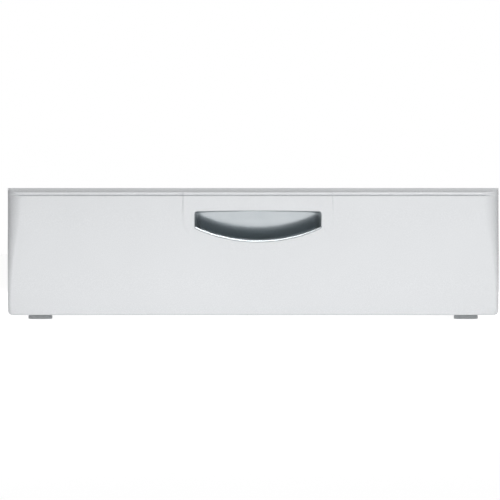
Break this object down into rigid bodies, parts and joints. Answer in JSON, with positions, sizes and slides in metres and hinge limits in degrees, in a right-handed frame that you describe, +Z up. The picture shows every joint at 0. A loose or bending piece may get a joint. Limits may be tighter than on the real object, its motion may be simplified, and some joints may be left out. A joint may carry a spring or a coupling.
{
  "type": "laundry pedestal",
  "caption": "Low storage pedestal for a front load washing machine: sheet steel cabinet, full-width drawer with a smile-shaped finger cup, ball-bearing slides and levelling feet.",
  "frame": {"origin": "on the floor, under the middle of the pedestal's box", "axes": "+X to the right seen from the front, -Y out of the drawer front, +Z up"},
  "size_m": [0.686, 0.66, 0.184],
  "materials": {
    "front_moulding": "satin moulded plastic, light grey white",
    "silver_cup": "satin silver paint on moulded plastic",
    "white_enamel": "white powder coat on sheet steel",
    "galvanised_steel": "galvanised sheet",
    "slide_steel": "bright zinc on rolled steel",
    "zinc_steel": "yellowish zinc",
    "ball_steel": "polished",
    "black_rubber": "matt",
    "black_nylon": "moulded nylon",
    "grey_nylon": "moulded nylon"
  },
  "bodies": {
    "cabinet": {"left_side_panel": "white_enamel", "right_side_panel": "white_enamel", "back_panel": "white_enamel", "top_deck": "white_enamel", "upper_front_rail": "galvanised_steel", "lower_front_rail": "galvanised_steel", "lower_rear_rail": "galvanised_steel", "front_deck_brace": "galvanised_steel", "rear_deck_brace": "galvanised_steel", "left_slide_bracket": "galvanised_steel", "right_slide_bracket": "galvanised_steel", "foot_brackets": "galvanised_steel", "foot_weld_nuts": "zinc_steel", "foot_lock_nuts": "zinc_steel", "cabinet_screws": "zinc_steel", "rail_rivets": "galvanised_steel", "left_outer_member": "slide_steel", "right_outer_member": "slide_steel", "slide_cabinet_screws": "zinc_steel"},
    "drawer": {"left_inner_member": "slide_steel", "right_inner_member": "slide_steel", "slide_drawer_screws": "zinc_steel", "lever_pins": "zinc_steel", "drawer_front": "front_moulding", "handle_cup": "silver_cup", "handle_screws": "zinc_steel", "front_stiffener": "galvanised_steel", "drawer_inner_front": "white_enamel", "drawer_bottom": "white_enamel", "drawer_left_side": "white_enamel", "drawer_right_side": "white_enamel", "drawer_back": "white_enamel", "front_screws": "zinc_steel", "drawer_rivets": "galvanised_steel", "closing_bumpers": "black_rubber"},
    "left_middle": {"left_middle_member": "slide_steel"},
    "left_outer_cage_body": {"left_outer_cage": "slide_steel", "left_outer_balls": "ball_steel"},
    "left_inner_cage_body": {"left_inner_cage": "slide_steel", "left_inner_balls": "ball_steel"},
    "left_lever": {"left_release_lever": "black_nylon"},
    "right_middle": {"right_middle_member": "slide_steel"},
    "right_outer_cage_body": {"right_outer_cage": "slide_steel", "right_outer_balls": "ball_steel"},
    "right_inner_cage_body": {"right_inner_cage": "slide_steel", "right_inner_balls": "ball_steel"},
    "right_lever": {"right_release_lever": "black_nylon"},
    "front_left_leveller": {"front_left_stud": "zinc_steel", "front_left_foot": "grey_nylon"},
    "front_right_leveller": {"front_right_stud": "zinc_steel", "front_right_foot": "grey_nylon"},
    "rear_left_leveller": {"rear_left_stud": "zinc_steel", "rear_left_foot": "grey_nylon"},
    "rear_right_leveller": {"rear_right_stud": "zinc_steel", "rear_right_foot": "grey_nylon"}
  },
  "joints": [
    {"name": "drawer_slide", "type": "slide", "parent": "cabinet", "child": "drawer", "axis": [0, -1, 0], "range_m": [0, 0.45]},
    {"name": "left_middle_slide", "type": "slide", "parent": "cabinet", "child": "left_middle", "axis": [0, -1, 0], "range_m": [0, 0.225]},
    {"name": "left_outer_cage_slide", "type": "slide", "parent": "cabinet", "child": "left_outer_cage_body", "axis": [0, -1, 0], "range_m": [0, 0.1125]},
    {"name": "left_inner_cage_slide", "type": "slide", "parent": "cabinet", "child": "left_inner_cage_body", "axis": [0, -1, 0], "range_m": [0, 0.3375]},
    {"name": "right_middle_slide", "type": "slide", "parent": "cabinet", "child": "right_middle", "axis": [0, -1, 0], "range_m": [0, 0.225]},
    {"name": "right_outer_cage_slide", "type": "slide", "parent": "cabinet", "child": "right_outer_cage_body", "axis": [0, -1, 0], "range_m": [0, 0.1125]},
    {"name": "right_inner_cage_slide", "type": "slide", "parent": "cabinet", "child": "right_inner_cage_body", "axis": [0, -1, 0], "range_m": [0, 0.3375]},
    {"name": "left_lever_press", "type": "hinge", "parent": "drawer", "child": "left_lever", "pos_m": [-0.3112, 0.1157, 0.09], "axis": [1, 0, 0], "range_deg": [0, 4], "stiffness_Nm_per_rad": 0.5, "springref_deg": -1.15},
    {"name": "right_lever_press", "type": "hinge", "parent": "drawer", "child": "right_lever", "pos_m": [0.3112, 0.1157, 0.09], "axis": [1, 0, 0], "range_deg": [-4, 0], "stiffness_Nm_per_rad": 0.5, "springref_deg": 1.15},
    {"name": "front_left_level", "type": "slide", "parent": "cabinet", "child": "front_left_leveller", "axis": [0, 0, 1], "range_m": [-0.012, 0]},
    {"name": "front_right_level", "type": "slide", "parent": "cabinet", "child": "front_right_leveller", "axis": [0, 0, 1], "range_m": [-0.012, 0]},
    {"name": "rear_left_level", "type": "slide", "parent": "cabinet", "child": "rear_left_leveller", "axis": [0, 0, 1], "range_m": [-0.012, 0]},
    {"name": "rear_right_level", "type": "slide", "parent": "cabinet", "child": "rear_right_leveller", "axis": [0, 0, 1], "range_m": [-0.012, 0]}
  ],
  "couplings": [
    {"joint": "left_middle_slide", "follows": "drawer_slide", "ratio": 0.5},
    {"joint": "left_outer_cage_slide", "follows": "drawer_slide", "ratio": 0.25},
    {"joint": "left_inner_cage_slide", "follows": "drawer_slide", "ratio": 0.75},
    {"joint": "right_middle_slide", "follows": "drawer_slide", "ratio": 0.5},
    {"joint": "right_outer_cage_slide", "follows": "drawer_slide", "ratio": 0.25},
    {"joint": "right_inner_cage_slide", "follows": "drawer_slide", "ratio": 0.75}
  ]
}
